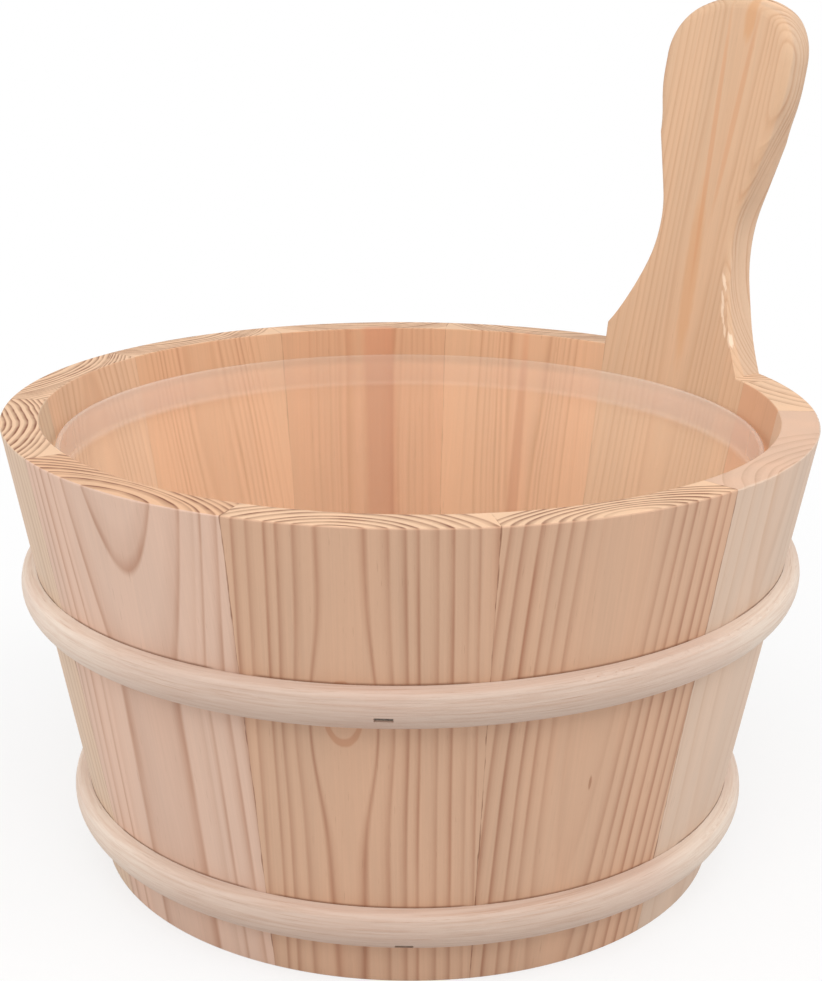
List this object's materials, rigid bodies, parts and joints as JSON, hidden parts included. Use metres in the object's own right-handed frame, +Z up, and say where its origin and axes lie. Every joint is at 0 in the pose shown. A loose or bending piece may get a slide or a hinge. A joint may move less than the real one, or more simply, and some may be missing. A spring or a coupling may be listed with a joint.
{
  "type": "wooden piggin",
  "caption": "Coopered pine pail with one long shaped stave as its handle, bent wooden hoops and a translucent plastic liner that lifts out.",
  "frame": {"origin": "middle of the bounding box at the foot of the staves; the tub's own axis stands 11.07 mm behind it, on -X", "axes": "+Z up out of the mouth, +X towards the handle stave, +Y to the left when the handle is ahead"},
  "size_m": [0.2818, 0.2598, 0.2744],
  "materials": {
    "pine_stave": "planed, unfinished",
    "pine_handle": "sanded, unfinished",
    "pine_bottom": "planed, unfinished",
    "hoop_wood": "bent and sanded, unfinished",
    "dowel_wood": "turned, unfinished",
    "staple_steel": "galvanised wire",
    "liner_plastic": "natural translucent polyethylene"
  },
  "bodies": {
    "bucket": {"handle_stave": "pine_handle", "stave_01": "pine_stave", "stave_02": "pine_stave", "stave_03": "pine_stave", "stave_04": "pine_stave", "stave_05": "pine_stave", "stave_06": "pine_stave", "stave_07": "pine_stave", "stave_08": "pine_stave", "stave_09": "pine_stave", "stave_10": "pine_stave", "bottom_board_left": "pine_bottom", "bottom_board_middle": "pine_bottom", "bottom_board_right": "pine_bottom", "bottom_dowels": "dowel_wood", "upper_hoop": "hoop_wood", "lower_hoop": "hoop_wood", "upper_hoop_staples": "staple_steel", "lower_hoop_staples": "staple_steel"},
    "liner": {"liner": "liner_plastic"}
  },
  "joints": [
    {"name": "liner_lift", "type": "slide", "parent": "bucket", "child": "liner", "axis": [0, 0, 1], "range_m": [0, 0.16]}
  ]
}
